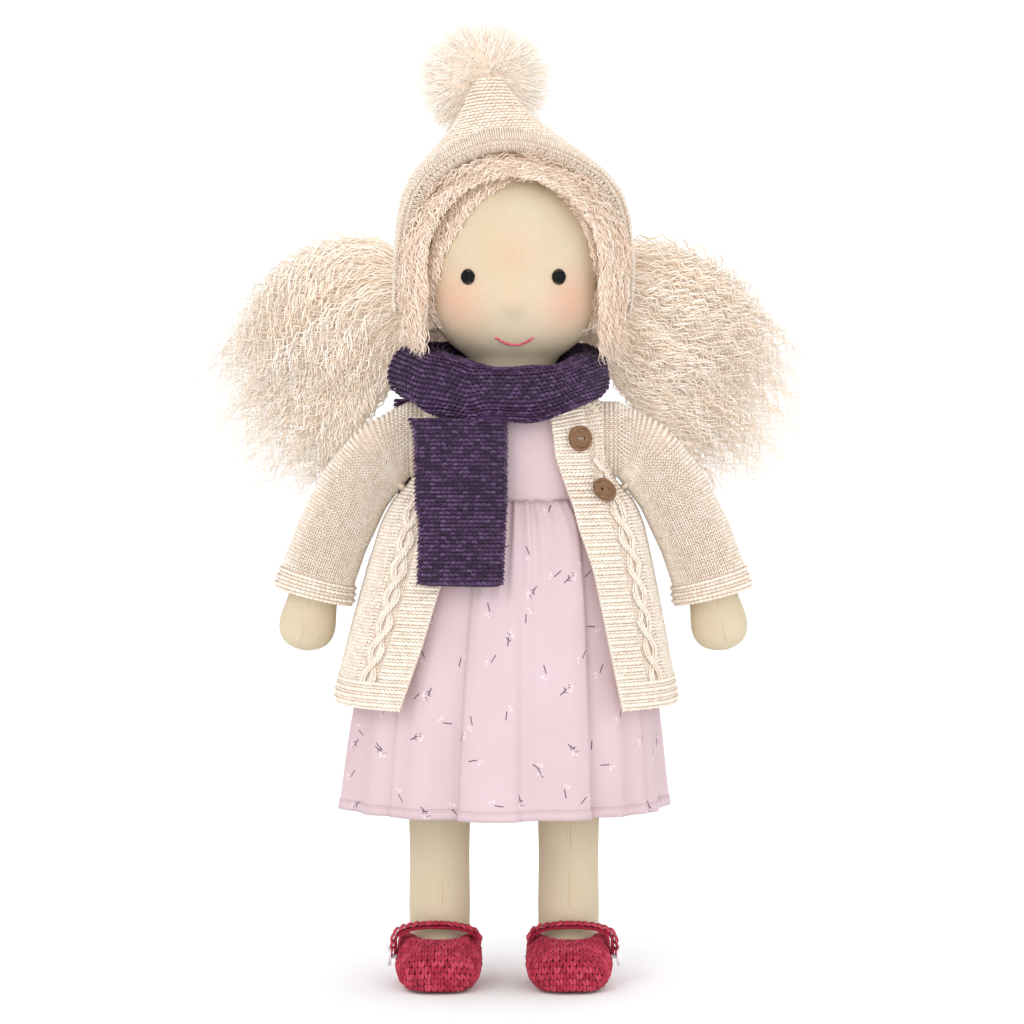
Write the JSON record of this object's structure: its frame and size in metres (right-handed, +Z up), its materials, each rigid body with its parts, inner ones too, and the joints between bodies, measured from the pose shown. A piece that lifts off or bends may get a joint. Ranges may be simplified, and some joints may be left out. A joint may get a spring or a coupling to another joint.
{
  "type": "waldorf doll",
  "caption": "Soft stuffed cloth doll with wool hair bunches, dressed in knitted hat, scarf and open cardigan, gathered dress and crocheted strap shoes; head, arms, legs and straps move",
  "frame": {"origin": "on the floor, midway between the two shoes, under the middle of the doll", "axes": "+X the doll's left, -Y the way the doll faces, +Z up"},
  "size_m": [0.2643, 0.1186, 0.4336],
  "materials": {
    "skin_jersey": "fine cream cotton jersey over wool stuffing",
    "black_thread": "satin-stitched black thread",
    "pink_thread": "pink embroidery thread",
    "mohair": "curly blonde mohair locks",
    "hair_band": "wound hair-coloured yarn",
    "cream_knit": "cream wool knit, slightly fuzzy",
    "pompom_wool": "cut off-white wool",
    "purple_knit": "dark purple garter knit",
    "pink_cotton": null,
    "crimson_crochet": "crimson crocheted cotton yarn",
    "button_wood": "dark polished wood",
    "white_button": "white glossy button"
  },
  "bodies": {
    "torso": {"torso": "skin_jersey", "dress_bodice": "pink_cotton", "dress_skirt": "pink_cotton", "cardigan_back": "cream_knit", "cardigan_left_front": "cream_knit", "cardigan_right_front": "cream_knit", "upper_button": "button_wood", "lower_button": "button_wood", "scarf": "purple_knit"},
    "head": {"head": "skin_jersey", "left_eye": "black_thread", "right_eye": "black_thread", "mouth": "pink_thread", "hair_cap": "mohair", "left_bunch": "mohair", "right_bunch": "mohair", "left_hair_tie": "hair_band", "right_hair_tie": "hair_band"},
    "hat": {"hat": "cream_knit", "pompom": "pompom_wool"},
    "left_arm": {"left_arm": "skin_jersey", "left_sleeve": "cream_knit"},
    "right_arm": {"right_arm": "skin_jersey", "right_sleeve": "cream_knit"},
    "left_leg": {"left_leg": "skin_jersey", "left_shoe": "crimson_crochet", "left_shoe_button": "white_button"},
    "right_leg": {"right_leg": "skin_jersey", "right_shoe": "crimson_crochet", "right_shoe_button": "white_button"},
    "left_strap": {"left_shoe_strap": "crimson_crochet"},
    "right_strap": {"right_shoe_strap": "crimson_crochet"}
  },
  "joints": [
    {"name": "neck_turn", "type": "hinge", "parent": "torso", "child": "head", "pos_m": [0.0042, 0, 0.266], "axis": [0, 0, 1], "range_deg": [-9, 9]},
    {"name": "hat_lift", "type": "slide", "parent": "head", "child": "hat", "axis": [0, 0, 1], "range_m": [0, 0.13]},
    {"name": "left_shoulder", "type": "hinge", "parent": "torso", "child": "left_arm", "pos_m": [0.0502, 0, 0.2468], "axis": [-1, 0, 0], "range_deg": [-15, 85]},
    {"name": "right_shoulder", "type": "hinge", "parent": "torso", "child": "right_arm", "pos_m": [-0.0418, 0, 0.2468], "axis": [-1, 0, 0], "range_deg": [-15, 85]},
    {"name": "left_hip", "type": "hinge", "parent": "torso", "child": "left_leg", "pos_m": [0.0292, 0, 0.16], "axis": [-1, 0, 0], "range_deg": [-15, 20]},
    {"name": "right_hip", "type": "hinge", "parent": "torso", "child": "right_leg", "pos_m": [-0.0292, 0, 0.16], "axis": [-1, 0, 0], "range_deg": [-15, 20]},
    {"name": "left_strap_open", "type": "hinge", "parent": "left_leg", "child": "left_strap", "pos_m": [0.01115, -0.0178, 0.0208], "axis": [0, -1, 0], "range_deg": [0, 75]},
    {"name": "right_strap_open", "type": "hinge", "parent": "right_leg", "child": "right_strap", "pos_m": [-0.01115, -0.0178, 0.0208], "axis": [0, 1, 0], "range_deg": [0, 75]}
  ]
}
